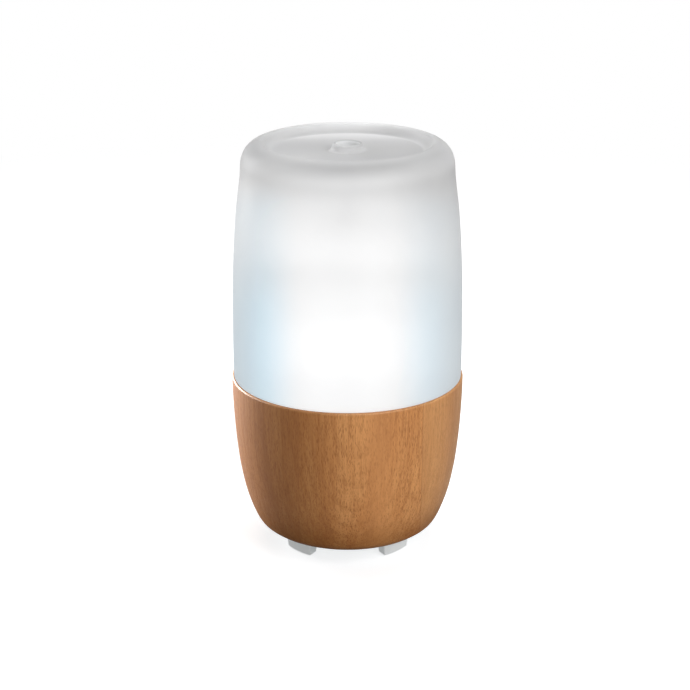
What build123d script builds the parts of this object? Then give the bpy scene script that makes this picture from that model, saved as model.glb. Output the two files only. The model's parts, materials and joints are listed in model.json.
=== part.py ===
from build123d import *
import math
import os

os.makedirs("parts", exist_ok=True)

# Ultrasonic essential oil diffuser. Millimetres, +Z up, origin on the floor under the middle
# of the body. The front faces -Y; the socket and the two buttons are on the back, +Y.
# Heights are measured from the drawing's datum, which save() puts DATUM_Z above the floor.

# ---- driving dimensions -----------------------------------------------------
DATUM_Z = 2.4            # height of the datum above the floor
SOLE_Z = -DATUM_Z        # underside of the foot pads
GAP = 0.05               # gap left between pieces that stand on each other

BODY_R = 48.0            # outer radius of the wood at its top edge
SEAM_Z = 70.7            # top edge of the wood, where the cover stands
WOOD_WALL = 3.2
WOOD_BOTTOM_Z = 5.6
GLUE = 0.1               # glue line between the wood and the plastic liner
LINER_WALL = 1.6
LINER_TOP_Z = 67.0
SHELF_Z0, SHELF_Z1, SHELF_R = 22.0, 24.0, 24.5      # shelf in the liner, and its opening
PLATE_R, PLATE_Z0, PLATE_Z1 = 33.4, 5.0, 7.4        # bottom plate

PANEL_Z = 30.0           # height of the socket and buttons
PANEL_W, PANEL_H = 44.0, 13.0
BUTTON_X, BUTTON_R = 14.0, 4.0
BUTTON_XS = (-BUTTON_X, BUTTON_X)
BUTTON_HOLE_R = BUTTON_R + 0.2
JACK_HOLE_R = 4.5
SWITCH_BOARD_Y0, SWITCH_BOARD_Y1 = 27.0, 28.2

TANK_FLOOR_Z = 39.0      # inside floor of the tank at its edge
TANK_WALL = 2.0
TANK_RIM_Z = 77.0
TANK_HUB_Z = 33.6        # underside of the tank's middle
FLANGE_Z = 70.6          # top face of the tank's flange
FLANGE_Z0 = FLANGE_Z - 2.0

DISC_R, DISC_T, DISC_Z = 10.0, 1.2, 34.4            # piezo disc
BOARD_R, BOARD_Z0, BOARD_T = 28.5, 26.0, 1.6        # main board
BOARD_Z1 = BOARD_Z0 + BOARD_T
LED_R0, LED_R1, LED_Z0, LED_T = 21.0, 29.5, 32.6, 1.2   # light board
LED_Z1 = LED_Z0 + LED_T
FAN_SIZE, FAN_Z0, FAN_H = 40.0, 8.2, 10.0
FAN_Z1 = FAN_Z0 + FAN_H
FAN_HOLE = 16.0          # X and Y of the fan's screws

QUARTERS = (0, 90, 180, 270)
DIAGONALS = (45, 135, 225, 315)
THIRDS = (30, 150, 270)
TURN_DEG = 17.0          # angle about Z at which polygon profiles start their revolution


# ---- helpers ----------------------------------------------------------------
def polar(radius, deg):
    return radius * math.cos(math.radians(deg)), radius * math.sin(math.radians(deg))


def spots(radius, angles):
    return [polar(radius, deg) for deg in angles]


PLATE_SCREWS = spots(28.5, QUARTERS)
TANK_SCREWS = spots(33.0, DIAGONALS)
BOARD_SCREWS = spots(26.6, (210, 330, 270))
LED_SCREWS = spots(26.2, THIRDS)
CLAMP_SCREWS = spots(17.6, THIRDS)
FAN_SCREWS = [(sx * FAN_HOLE, sy * FAN_HOLE) for sx in (-1, 1) for sy in (-1, 1)]


def to_xz(points):
    return [(radius, 0, z) for radius, z in points]


def line_xz(start, end):
    return Line(*to_xz([start, end]))


def spline_xz(points, **options):
    return Spline(*to_xz(points), **options)


def revolved(outline):
    """Revolves a closed outline in the XZ plane about Z."""
    return revolve(make_face(outline), Axis.Z, 360)


def turned_polygon(points):
    return Rot(0, 0, TURN_DEG) * revolved(Wire.make_polygon(to_xz(points), close=True))


def ring(inner_r, outer_r, z0, z1):
    height = z1 - z0
    return Pos(0, 0, (z0 + z1) / 2) * (Cylinder(outer_r, height) - Cylinder(inner_r, height + 2))


def rod(radius, z0, z1, x=0.0, y=0.0):
    return Pos(x, y, (z0 + z1) / 2) * Cylinder(radius, z1 - z0)


def rod_y(radius, y0, y1, x=0.0, z=PANEL_Z):
    """Cylinder along Y."""
    return Pos(x, (y0 + y1) / 2, z) * Rot(90, 0, 0) * Cylinder(radius, y1 - y0)


def add_rods(shape, places, radius, z0, z1):
    for x, y in places:
        shape += rod(radius, z0, z1, x, y)
    return shape


def cut_rods(shape, places, radius, z0, z1):
    for x, y in places:
        shape -= rod(radius, z0, z1, x, y)
    return shape


def block(x0, x1, y0, y1, z0, z1):
    middle = Pos((x0 + x1) / 2, (y0 + y1) / 2, (z0 + z1) / 2)
    return middle * Box(x1 - x0, y1 - y0, z1 - z0)


def radial_box(radius, deg, z, length, width, height):
    """Box centred at a radius and height, its length pointing outwards."""
    x, y = polar(radius, deg)
    return Pos(x, y, z) * Rot(0, 0, deg) * Box(length, width, height)


def arc_face(inner_r, outer_r, mid_deg, half_deg, z):
    """The area between two radii and two angles, level at z."""
    angles = (mid_deg - half_deg, mid_deg, mid_deg + half_deg)
    inner = spots(inner_r, angles)
    outer = spots(outer_r, angles)
    outline = [
        ThreePointArc(*inner),
        Line(inner[2], outer[2]),
        ThreePointArc(*outer[::-1]),
        Line(outer[0], inner[0]),
    ]
    return Pos(0, 0, z) * make_face(Wire(outline))


def arc_block(inner_r, outer_r, mid_deg, half_deg, z0, z1):
    return extrude(arc_face(inner_r, outer_r, mid_deg, half_deg, z0), z1 - z0)


def drafted_block(inner_r, outer_r, mid_deg, half_deg, z0, z1, draft):
    """An arc block whose sides lean in by draft degrees going down from z1."""
    inset = math.tan(math.radians(draft)) * (z1 - z0)
    inset_deg = math.degrees(inset / ((inner_r + outer_r) / 2))
    top = arc_face(inner_r, outer_r, mid_deg, half_deg, z1)
    foot = arc_face(inner_r + inset, outer_r - inset, mid_deg, half_deg - inset_deg, z0)
    return loft([foot, top], ruled=True)


def bottom_edges(shape):
    return shape.edges().group_by(Axis.Z)[0]


def top_edges(shape):
    return shape.edges().group_by(Axis.Z)[-1]


def round_uprights(shape, radius):
    return fillet(shape.edges().filter_by(Axis.Z), radius)


def pan_screw(radius, length, head_r, head_h, up):
    """Cross-recess screw: head below z 0 and shank above it, or turned over."""
    head = rod(head_r, -head_h, 0)
    head = fillet(bottom_edges(head), head_h * 0.45)
    screw = head + rod(radius, -0.2, length)
    screw = chamfer(top_edges(screw), radius * 0.45)
    long, short = head_r * 1.15, head_r * 0.28
    screw -= Pos(0, 0, -head_h) * Box(long, short, head_h * 1.1)
    screw -= Pos(0, 0, -head_h) * Box(short, long, head_h * 1.1)
    return screw if up else Rot(180, 0, 0) * screw


def screws(places, z, radius, length, head_r, head_h, up=True):
    return [Pos(x, y, z) * pan_screw(radius, length, head_r, head_h, up) for x, y in places]


def save(name, *shapes):
    """Writes all the solids of the shapes to one file, raised to stand on the floor."""
    solids = [solid for shape in shapes for solid in shape.solids()]
    piece = solids[0] if len(solids) == 1 else Compound(children=solids)
    export_step(Pos(0, 0, DATUM_Z) * piece, f"parts/{name}.step")


# ---- curve of the body ------------------------------------------------------
# (radius, z) down the outside of the wood
WOOD_OUT = [
    (BODY_R, 69.9), (47.93, 64.5), (47.70, 58.4), (47.36, 52.2), (46.92, 46.1),
    (46.32, 40.0), (45.56, 33.8), (44.52, 27.7), (43.17, 21.6), (41.24, 15.4),
    (38.95, 9.9), (37.3, 7.4), (35.4, 6.0),
]


def offset_points(points, distance):
    """Moves each point square to the chord through its neighbours.

    A positive distance moves a curve that runs downwards inwards.
    """
    moved = []
    for i, (radius, z) in enumerate(points):
        before = points[max(i - 1, 0)]
        after = points[min(i + 1, len(points) - 1)]
        run, rise = after[0] - before[0], after[1] - before[1]
        chord = math.hypot(run, rise)
        moved.append((radius + distance * rise / chord, z - distance * run / chord))
    return moved


def wood_solid(inset, z_top, z_bottom):
    """Solid of revolution inside the wood's outer surface by inset, cut flat at both ends."""
    points = offset_points(WOOD_OUT, inset) if inset else WOOD_OUT
    top, end = points[0], points[-1]
    z_low, z_high = z_bottom - 4, z_top + 2
    body = revolved([
        line_xz((0, z_low), (end[0] - 3.0, z_low)),
        line_xz((end[0] - 3.0, z_low), end),
        spline_xz(points[::-1]),
        line_xz(top, (top[0], z_high)),
        line_xz((top[0], z_high), (0, z_high)),
        line_xz((0, z_high), (0, z_low)),
    ])
    return body & Pos(0, 0, (z_top + z_bottom) / 2) * Cylinder(BODY_R + 5, z_top - z_bottom)


def inset_radius(inset, z):
    """Radius at height z of the wood's outer curve moved in by inset."""
    points = offset_points(WOOD_OUT, inset)
    for (r0, z0), (r1, z1) in zip(points, points[1:]):
        if z1 <= z <= z0:
            return r0 + (r1 - r0) * (z0 - z) / (z0 - z1)
    return points[0][0] if z > points[0][1] else points[-1][0]


def coned(inset, levels):
    """Turned solid inside the wood's curve by inset, straight between the given heights."""
    side = [(inset_radius(inset, z), z) for z in levels]
    return turned_polygon([(0, levels[0])] + side + [(0, levels[-1])])


def panel_pill(y0, y1, grow=0.0):
    """Prism along Y in the panel's round-ended outline."""
    prism = extrude(SlotOverall(PANEL_W + 2 * grow, PANEL_H + 2 * grow), y1 - y0)
    return Pos(0, y1, PANEL_Z) * Rot(90, 0, 0) * prism


def cut_panel_holes(shape, button_y0, jack_y0, y1):
    for x in BUTTON_XS:
        shape -= rod_y(BUTTON_HOLE_R, button_y0, y1, x)
    return shape - rod_y(JACK_HOLE_R, jack_y0, y1)


# ---- wood sleeve ------------------------------------------------------------
def wood_sleeve():
    wood = wood_solid(0.0, SEAM_Z, WOOD_BOTTOM_Z)
    wood -= wood_solid(WOOD_WALL, SEAM_Z + 4, WOOD_BOTTOM_Z + 2.6)
    wood -= rod(PLATE_R + 0.35, WOOD_BOTTOM_Z - 3, WOOD_BOTTOM_Z + 6)
    wood -= panel_pill(20, 60, grow=0.2)
    wood = fillet(top_edges(wood).sort_by(SortBy.LENGTH)[-1], 0.6)
    return chamfer(top_edges(wood).sort_by(SortBy.LENGTH)[0], 0.3)


save("wood_sleeve", wood_sleeve())


# ---- liner (base housing) ---------------------------------------------------
LINER_LEVELS = (54.0, 37.0, 23.0, 15.0)     # heights where the liner's cones meet


def base_housing():
    inset = WOOD_WALL + GLUE
    outer = coned(inset, (LINER_TOP_Z, *LINER_LEVELS, 8.8))
    hollow = coned(inset + LINER_WALL, (LINER_TOP_Z + 4, *LINER_LEVELS, 10.4))
    hollow += rod(31.0, 6, 13)              # open bottom, leaving an inward ring
    hollow -= ring(SHELF_R, 46.0, SHELF_Z0, SHELF_Z1)
    for deg in QUARTERS:                    # webs behind the screw bosses
        hollow -= radial_box(36.0, deg, 18.3, 10.4, 1.6, 8.0)
    for x in BUTTON_XS:                     # guides round the buttons
        hollow -= rod_y(6.0, 34.8, 46.0, x)
    liner = outer - hollow
    # bosses for the bottom plate's screws
    liner = add_rods(liner, PLATE_SCREWS, 3.0, 7.5, SHELF_Z0 + 0.5)
    liner = cut_rods(liner, PLATE_SCREWS, 1.3, 7.0, 17.5)
    liner = cut_rods(liner, TANK_SCREWS, 1.6, SHELF_Z0 - 1, SHELF_Z1 + 1)
    for x, y in BOARD_SCREWS:               # posts for the main board
        liner += rod(1.9, SHELF_Z1 - 0.5, BOARD_Z0 - GAP, x, y)
        liner -= rod(0.9, SHELF_Z0 + 0.5, BOARD_Z0 + 1, x, y)
    clip_z = SHELF_Z1 - 0.5
    for sx in (-1, 1):                      # clips on both faces of the switch board
        x_in, x_out = sx * 8.5, sx * 8.0
        liner += block(x_in - 1.5, x_in + 1.5, 25.5, SWITCH_BOARD_Y0 - 0.1, clip_z, 30.0)
        liner += block(x_out - 1.2, x_out + 1.2, SWITCH_BOARD_Y1 + 0.1, 29.6, clip_z, 28.2)
    return cut_panel_holes(liner, 30, 36, 46)


save("base_housing", base_housing())


# ---- rear panel, let into the wood ------------------------------------------
def rear_panel():
    panel = wood_solid(0.25, 60, 12) - wood_solid(WOOD_WALL, 62, 10)
    panel = panel & panel_pill(30, 60)
    return cut_panel_holes(panel, 30, 30, 50)


save("rear_panel", rear_panel())


# ---- buttons: flange at the inner end, cap following the body's curve -------
def button(x):
    cap = rod_y(BUTTON_R, 34.0, 50, x) & wood_solid(-0.75, 60, 12)
    body = cap + rod_y(5.3, 32.95, 34.6, x)
    body -= rod_y(2.4, 34.0, 40.5, x)       # cored out, as moulded
    body += rod_y(0.6, 33.5, 41.5, x)
    # The cap's edge stays sharp if the curved surface does not take the fillet.
    try:
        body = fillet([e for e in body.edges() if e.center().Y > 41.0 and e.length > 20], 0.5)
    except Exception:
        pass
    return body


save("mist_button", button(BUTTON_X))
save("light_button", button(-BUTTON_X))


# ---- switch board, switches, socket -----------------------------------------
def switch_board():
    board = block(-22, 22, SWITCH_BOARD_Y0, SWITCH_BOARD_Y1, SHELF_Z1 + 0.1, 36.4)
    board = chamfer(board.edges().filter_by(Axis.Y), 1.2)
    for x in (-1.8, 1.8):
        board -= rod_y(0.5, 26, 29, x, 27.0)
    return board


def tact_switch(x):
    half = 3.0
    y0 = SWITCH_BOARD_Y1
    body = block(x - half, x + half, y0, 31.4, PANEL_Z - half, PANEL_Z + half)
    body = chamfer(body.edges().filter_by(Axis.Y), 0.5)
    switch = body + rod_y(1.75, 31.2, 32.3, x)
    for sx in (-1, 1):                      # legs
        for sz in (-1, 1):
            leg_x, leg_z = x + sx * half, PANEL_Z + sz * 2.0
            switch += block(leg_x - 0.45, leg_x + 0.45, y0, 28.7, leg_z - 0.35, leg_z + 0.35)
    return switch


JACK_PIN_R = 1.05        # centre contact of a 5.5 x 2.1 mm socket
JACK_ROOT_R = 1.4        # its root in the socket's body
JACK_BORE_R = 3.15
JACK_BORE_Y, JACK_END_Y = 33.0, 44.1


def dc_jack():
    jack = block(-4.5, 4.5, SWITCH_BOARD_Y1 + GAP, 38.0, PANEL_Z - 5.4, PANEL_Z + 5.4)
    jack = fillet(jack.edges().filter_by(Axis.Y), 0.8)
    jack += rod_y(4.25, 37.5, JACK_END_Y)
    jack -= rod_y(JACK_BORE_R, JACK_BORE_Y, 46)
    jack -= rod_y(JACK_ROOT_R + 0.02, 30.5, 34)
    longest = 2 * math.pi * 3.3             # picks the mouth of the bore, not the barrel
    mouth = [e for e in jack.edges() if e.center().Y > 44.0 and e.length < longest]
    return chamfer(mouth, 0.35)


def dc_jack_pin():
    pin = rod_y(JACK_PIN_R, JACK_BORE_Y, 42.6)
    pin = fillet(pin.edges().group_by(Axis.Y)[-1], 0.45)
    return pin + rod_y(JACK_ROOT_R, 30.6, 33.2)


save("switch_board", switch_board())
save("tact_switches", *[tact_switch(x) for x in BUTTON_XS])
save("dc_jack", dc_jack())
save("dc_jack_pin", dc_jack_pin())

# ---- water tank -------------------------------------------------------------
# (radius, z) up the outside, round the flange and on to the rim
TANK_OUT = [
    (28.8, TANK_FLOOR_Z - TANK_WALL), (32.6, 37.8), (35.9, 40.0), (38.0, 43.4), (38.8, 47.0),
    (39.8, FLANGE_Z0), (44.4, FLANGE_Z0), (44.4, 74.2), (44.1, 74.6), (43.3, 74.6),
    (43.0, 74.2), (43.0, FLANGE_Z), (39.9, FLANGE_Z),
    (40.2, TANK_RIM_Z - 0.5), (39.8, TANK_RIM_Z),
]
# (radius, z) down the inside, from the rim to the floor
TANK_IN = [
    (38.8, TANK_RIM_Z), (38.35, TANK_RIM_Z - 0.5), (36.8, 47.0), (36.1, 43.8), (34.4, 41.2),
    (31.8, 39.6), (28.8, TANK_FLOOR_Z), (14.0, TANK_FLOOR_Z - 1.2),
]
DUCT_Y0, DUCT_Y1, DUCT_W = 26.5, 36.4, 15.0     # air duct at the back of the tank
DUCT_TOP_Z = 84.0
SEAL_SEAT_Z = 36.4


def duct_block(y1, z0, z1):
    """Block of the duct's width with its two front uprights rounded."""
    duct = block(-DUCT_W / 2, DUCT_W / 2, DUCT_Y0, y1, z0, z1)
    return fillet([e for e in duct.edges().filter_by(Axis.Z) if e.center().Y < 30], 2.2)


def water_tank():
    hub = [(0, TANK_HUB_Z), (15.5, TANK_HUB_Z), (15.5, 36.0)]
    outer = turned_polygon(hub + TANK_OUT + [(0, TANK_RIM_Z)])
    mouth = [(0, TANK_RIM_Z + 3), (39.1, TANK_RIM_Z + 3), (39.1, TANK_RIM_Z)]
    hollow = turned_polygon(mouth + TANK_IN + [(0, TANK_FLOOR_Z - 1.2)])
    hollow -= duct_block(DUCT_Y1 + 6, 30, TANK_RIM_Z + 5)
    hollow -= arc_block(37.15, 42.0, 270, 9.0, 66.0, 66.6)      # moulded fill marks
    hollow -= arc_block(36.95, 42.0, 270, 5.0, 60.0, 60.5)
    tank = outer - hollow
    tank += duct_block(DUCT_Y1, TANK_RIM_Z - 4, DUCT_TOP_Z)
    # feet that stand on the shelf
    tank = add_rods(tank, TANK_SCREWS, 3.1, SHELF_Z1 + GAP, 38.6)
    # posts for the light board and the transducer's clamp
    for led_spot, clamp_spot in zip(LED_SCREWS, CLAMP_SCREWS):
        tank += rod(2.2, LED_Z1 + GAP, 37.6, *led_spot)
        tank += rod(2.2, TANK_HUB_Z, 37.2, *clamp_spot)
    tank -= round_uprights(block(-5.7, 5.7, 28.3, 34.5, 28, 88), 1.8)   # air passage
    tank -= rod(8.6, 30, 45)                # window for the disc
    tank -= rod(12.6, 33.0, SEAL_SEAT_Z)    # seat for the seal
    tank = cut_rods(tank, TANK_SCREWS, 1.35, SHELF_Z1 - 1, 33.5)
    for led_spot, clamp_spot in zip(LED_SCREWS, CLAMP_SCREWS):
        tank -= rod(1.05, LED_Z0, 36.4, *led_spot)
        tank -= rod(1.05, 33.0, 36.6, *clamp_spot)
    return tank


def tank_gasket():
    gasket = ring(41.2, 42.6, LINER_TOP_Z + GAP, FLANGE_Z0 - GAP)
    return fillet(gasket.edges(), 0.35)


def air_duct_cap():
    fit = 0.15                              # clearance round the duct
    half = DUCT_W / 2 + fit
    cap = round_uprights(block(-8.7, 8.7, 25.4, 37.4, 80.7, 89.7), 3.0)
    cap = fillet(top_edges(cap), 2.2)
    cap -= block(-half, half, DUCT_Y0 - fit, DUCT_Y1 + fit, 80.0, DUCT_TOP_Z + GAP)
    cap -= block(-6.8, 6.8, 27.4, 35.4, 83.5, 88.1)
    cap -= block(-4.6, 4.6, 24.0, 28.5, 84.6, 87.3)     # outlet facing the middle
    return cap


save("water_tank", water_tank())
save("tank_gasket", tank_gasket())
save("air_duct_cap", air_duct_cap())
save("tank_screws", *screws(TANK_SCREWS, SHELF_Z0 - GAP, 1.3, 10.0, 2.6, 1.8))

# ---- transducer -------------------------------------------------------------
CLAMP_Z0, CLAMP_Z1 = 32.0, 33.5
CLAMP_R = 8.0            # radius of its opening


def transducer_disc():
    disc = rod(DISC_R, DISC_Z, DISC_Z + DISC_T)
    disc = fillet(top_edges(disc), 0.25)
    return disc + rod(7.0, DISC_Z - 0.3, DISC_Z + 0.1)


def transducer_seal():
    seal = ring(8.7, 12.5, TANK_HUB_Z + GAP, SEAL_SEAT_Z - 0.1)
    seal -= rod(DISC_R + 0.05, DISC_Z - 0.02, DISC_Z + DISC_T + 0.02)
    return fillet(top_edges(seal), 0.3)


def transducer_clamp():
    thickness = CLAMP_Z1 - CLAMP_Z0
    cut_z0, cut_z1 = CLAMP_Z0 - 1, CLAMP_Z1 + 1.5
    clamp = ring(CLAMP_R, 15.2, CLAMP_Z0, CLAMP_Z1)
    for deg, (x, y) in zip(THIRDS, CLAMP_SCREWS):
        ear = rod(2.6, CLAMP_Z0, CLAMP_Z1, x, y)
        ear += radial_box(15.6, deg, CLAMP_Z0 + thickness / 2, 4.0, 5.2, thickness)
        clamp += ear
    clamp -= rod(CLAMP_R, cut_z0, cut_z1)
    clamp = cut_rods(clamp, CLAMP_SCREWS, 1.2, cut_z0, cut_z1)
    return cut_rods(clamp, spots(11.6, range(0, 360, 60)), 0.9, cut_z0, cut_z1)


save("transducer_disc", transducer_disc())
save("transducer_seal", transducer_seal())
save("transducer_clamp", transducer_clamp())
save("transducer_screws", *screws(CLAMP_SCREWS, CLAMP_Z0 - GAP, 1.0, 4.2, 1.9, 1.3))


# ---- light board ------------------------------------------------------------
POST_NOTCH_R = 3.9       # notches in both boards round the tank's feet


def led_board():
    board = ring(LED_R0, LED_R1, LED_Z0, LED_Z1)
    board = cut_rods(board, LED_SCREWS, 1.15, 30, 36)
    # flat side, clear of the air duct and the switch board
    board -= block(-30, 30, 26.2, 40, 30, 36)
    return cut_rods(board, TANK_SCREWS, POST_NOTCH_R, 30, 36)


def led_chip(deg):
    radius = 24.4
    x, y = polar(radius, deg)
    chip = radial_box(radius, deg, LED_Z1 + 0.8, 5.0, 5.0, 1.5)
    chip -= rod(2.0, LED_Z1 + 1.25, LED_Z1 + 1.95, x, y)
    return chip + rod(1.9, LED_Z1 + 1.075, LED_Z1 + 1.425, x, y)


save("led_board", led_board())
save("led_chips", *[led_chip(deg) for deg in range(0, 360, 60)])
save("led_board_screws", *screws(LED_SCREWS, LED_Z0 - GAP, 1.0, 3.8, 1.9, 1.3))

# ---- main board -------------------------------------------------------------
LIFT = 0.02              # gap between the board and its components
# (x, y) of the small chips on top of the board
SMALL_CHIPS = [
    (-12, -14), (-9, -14), (-6, -14), (-3, -14), (2, -12), (5, -12), (-16, -3), (-16, 0),
    (11, 12), (13.6, 11.6), (18, 3), (18, 0), (18, -3), (-6, 14), (-3, 14), (0, 14),
]
# (x, y, width, side its mouth faces along Y)
CONNECTORS = [(-18, 15.5, 5.6, 1), (-8, 18.5, 5.0, -1), (8, 18.5, 5.0, -1), (18, 14.5, 5.0, 1)]


def main_board():
    board = rod(BOARD_R, BOARD_Z0, BOARD_Z1)
    board -= block(-30, 30, 22.5, 40, 20, 30)       # flat side, which lets the air past
    board = cut_rods(board, TANK_SCREWS, POST_NOTCH_R, 20, 30)
    return cut_rods(board, BOARD_SCREWS, 1.1, 20, 30)


def inductor(x, y, radius, core_r, height, groove_low, groove_high):
    """Wound inductor under the board; groove levels are depths below the board."""
    body = rod(radius, BOARD_Z0 - height, BOARD_Z0 - LIFT, x, y)
    groove = ring(core_r, radius + 2, BOARD_Z0 - groove_low, BOARD_Z0 - groove_high)
    return body - groove.moved(Location((x, y, 0)))


def board_components():
    above, below = BOARD_Z1 + LIFT, BOARD_Z0 - LIFT
    can = rod(3.15, BOARD_Z0 - 5.2, below, 13, 6)
    parts = [
        inductor(10, -8, 4.0, 2.8, 4.6, 3.8, 0.9),
        inductor(-14, 6, 3.0, 2.1, 4.0, 3.2, 0.8),
        fillet(bottom_edges(can), 0.4),
        block(-8, -2, -10, -4, above, BOARD_Z1 + 1.5),      # controller
        block(4, 8, 6, 10, above, BOARD_Z1 + 1.2),
        block(8, 14.5, -16, -10, BOARD_Z0 - 2.4, below),
    ]
    for x, y in SMALL_CHIPS:
        parts.append(block(x - 0.8, x + 0.8, y - 0.45, y + 0.45, above, BOARD_Z1 + 0.6))
    return parts


def heat_sink():
    sink = block(-19.5, -12.5, -13.0, -6.0, BOARD_Z0 - 5.0, BOARD_Z0 - 0.03)
    for i in range(3):                      # grooves between the fins
        x = -18.5 + i * 2.3
        sink -= block(x, x + 1.3, -15, -5, BOARD_Z0 - 5.5, BOARD_Z0 - 1.5)
    return sink


def connector(x, y, width, side):
    half = width / 2
    mouth_y = y + side * 1.6
    body = block(x - half, x + half, y - 2.2, y + 2.2, BOARD_Z1 + LIFT, BOARD_Z1 + 2.7)
    return body - block(
        x - half + 0.6, x + half - 0.6, mouth_y - 1.4, mouth_y + 1.4,
        BOARD_Z1 + 0.55, BOARD_Z1 + 2.1,
    )


save("main_board", main_board())
save("board_components", *board_components())
save("heat_sink", heat_sink())
save("board_connectors", *[connector(*row) for row in CONNECTORS])
save("main_board_screws", *screws(BOARD_SCREWS, BOARD_Z1 + GAP, 0.85, 3.4, 1.7, 1.2, up=False))

# ---- fan --------------------------------------------------------------------
FAN_BORE_R = 18.9
FAN_HUB_R = 12.2         # rotor hub, and the frame's disc above it
SHAFT_R = 1.0
BUSH_R = SHAFT_R + 0.05  # with running clearance
STATOR_Z0, STATOR_Z1 = 12.0, 15.0
STATOR_MID_Z = (STATOR_Z0 + STATOR_Z1) / 2
BLADES = 7


def fan_frame():
    half = FAN_SIZE / 2
    frame = round_uprights(block(-half, half, -half, half, FAN_Z0, FAN_Z1), 3.0)
    frame -= rod(FAN_BORE_R, FAN_Z0 - 1, FAN_Z1 + 1)
    # corners open between the two flanges
    frame -= ring(20.4, 40, FAN_Z0 + 3.0, FAN_Z1 - 3.0)
    frame += rod(FAN_HUB_R, FAN_Z1 - 1.6, FAN_Z1)
    for deg in QUARTERS:                    # struts
        frame += radial_box(15.9, 20 + deg, FAN_Z1 - 0.8, 8.2, 2.0, 1.6)
    frame += ring(2.6, 4.0, 10.9, FAN_Z1 - 1.0)     # tube round the bushing
    return cut_rods(frame, FAN_SCREWS, 1.75, FAN_Z0 - 1, FAN_Z1 + 1)


def fan_stator_core():
    core = ring(4.05, 5.4, STATOR_Z0, STATOR_Z1)
    for deg in QUARTERS:
        core += radial_box(6.6, deg, STATOR_MID_Z, 3.4, 2.0, 3.0)
        core += arc_block(8.0, 9.2, deg, 34, STATOR_Z0, STATOR_Z1)
    return core


def fan_coil(deg):
    coil = radial_box(6.75, deg, STATOR_MID_Z, 1.9, 4.0, 4.6)
    coil = fillet(coil.edges().filter_by(Axis.Z, reverse=True).group_by(Axis.Z)[-1], 0.4)
    return coil - radial_box(6.75, deg, STATOR_MID_Z, 4.0, 2.1, 3.1)


def blade_section(x, pitch, chord, thickness):
    plane = Plane(origin=(x, 0, 12.3), x_dir=(0, 1, 0), z_dir=(1, 0, 0))
    return plane * (Rot(0, 0, pitch) * Rectangle(chord, thickness))


def fan_rotor():
    rotor = rod(FAN_HUB_R, 8.7, 15.7) - rod(11.3, 9.9, 17)
    rotor = fillet(bottom_edges(rotor), 0.8)
    rotor += rod(2.4, 9.7, 10.7)
    rotor -= rod(SHAFT_R, 9.2, 12)
    for k in range(BLADES):
        root = blade_section(11.9, 46, 8.4, 0.9)
        tip = blade_section(18.3, 30, 10.6, 0.7)
        blade = loft([root, tip]) & ring(11.8, 18.35, 8.9, 15.9)
        rotor += Rot(0, 0, 360 / BLADES * k) * blade
    return rotor


def fan_shaft():
    shaft = rod(SHAFT_R, 9.3, 16.2)
    return chamfer(top_edges(shaft), 0.2)


save("fan_frame", fan_frame())
save("fan_bushing", ring(BUSH_R, 2.58, 11.0, 16.5))
save("fan_stator_core", fan_stator_core())
save("fan_coils", *[fan_coil(deg) for deg in QUARTERS])
save("fan_circuit_board", ring(4.2, 10.5, 16.0, 16.55))
save("fan_rotor", fan_rotor())
save("fan_magnet", ring(9.9, 11.25, 10.2, 15.3))
save("fan_shaft", fan_shaft())

# ---- bottom plate, feet, screws ---------------------------------------------
FOOT_R0, FOOT_R1, FOOT_HALF_DEG = 24.2, 30.0, 14.4  # four arc-shaped feet, at their roots
FOOT_DRAFT = 5.5         # degrees that their sides lean in
PAD_T = 0.9              # nominal thickness of the silicone pads under the feet
# (middle radius, half angle, angle of the first) for each row of four air slots
AIR_SLOTS = [(6.0, 30, 45), (10.0, 33, 45), (14.0, 35, 45), (18.0, 20, 0)]


def bottom_plate():
    below, above = PLATE_Z0 - 1, PLATE_Z1 + 1
    plate = rod(PLATE_R, PLATE_Z0, PLATE_Z1)
    plate = fillet(bottom_edges(plate), 0.6)
    for deg in DIAGONALS:                   # feet, each with a recess for its pad
        foot = drafted_block(
            FOOT_R0, FOOT_R1, deg, FOOT_HALF_DEG, SOLE_Z + PAD_T * 0.6, PLATE_Z0 + 0.5, FOOT_DRAFT
        )
        plate += chamfer(bottom_edges(foot), 0.2)
        plate -= arc_block(
            FOOT_R0 + 1.5, FOOT_R1 - 1.5, deg, FOOT_HALF_DEG - 2.7, SOLE_Z, SOLE_Z + PAD_T + 0.5
        )
    plate = add_rods(plate, FAN_SCREWS, 3.2, PLATE_Z1 - 0.5, FAN_Z0 - GAP)
    plate = cut_rods(plate, FAN_SCREWS, 1.2, PLATE_Z0 + 0.8, FAN_Z0 + 1)
    for radius, half_deg, first in AIR_SLOTS:
        for deg in QUARTERS:
            plate -= arc_block(radius - 1.0, radius + 1.0, deg + first, half_deg, below, above)
    for x, y in PLATE_SCREWS:               # counterbored holes
        plate -= rod(1.5, below, above, x, y)
        plate -= rod(2.9, below, PLATE_Z0 + 1.1, x, y)
    return plate


def foot_pad(deg):
    pad = arc_block(
        FOOT_R0 + 1.6, FOOT_R1 - 1.6, deg, FOOT_HALF_DEG - 2.9, SOLE_Z, SOLE_Z + PAD_T + 0.45
    )
    return fillet(bottom_edges(pad), 0.25)


save("bottom_plate", bottom_plate())
save("foot_pads", *[foot_pad(deg) for deg in DIAGONALS])
save("bottom_screws", *screws(PLATE_SCREWS, PLATE_Z0 + 1.05, 1.25, 11.0, 2.6, 1.0))
save("fan_screws", *screws(FAN_SCREWS, FAN_Z1 + GAP, 1.15, 12.2, 2.5, 1.7, up=False))

# ---- cables -----------------------------------------------------------------
WIRE_R = 0.45
PLUG_Z = BOARD_Z1 + 1.32     # height at which wires enter the connectors

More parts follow.
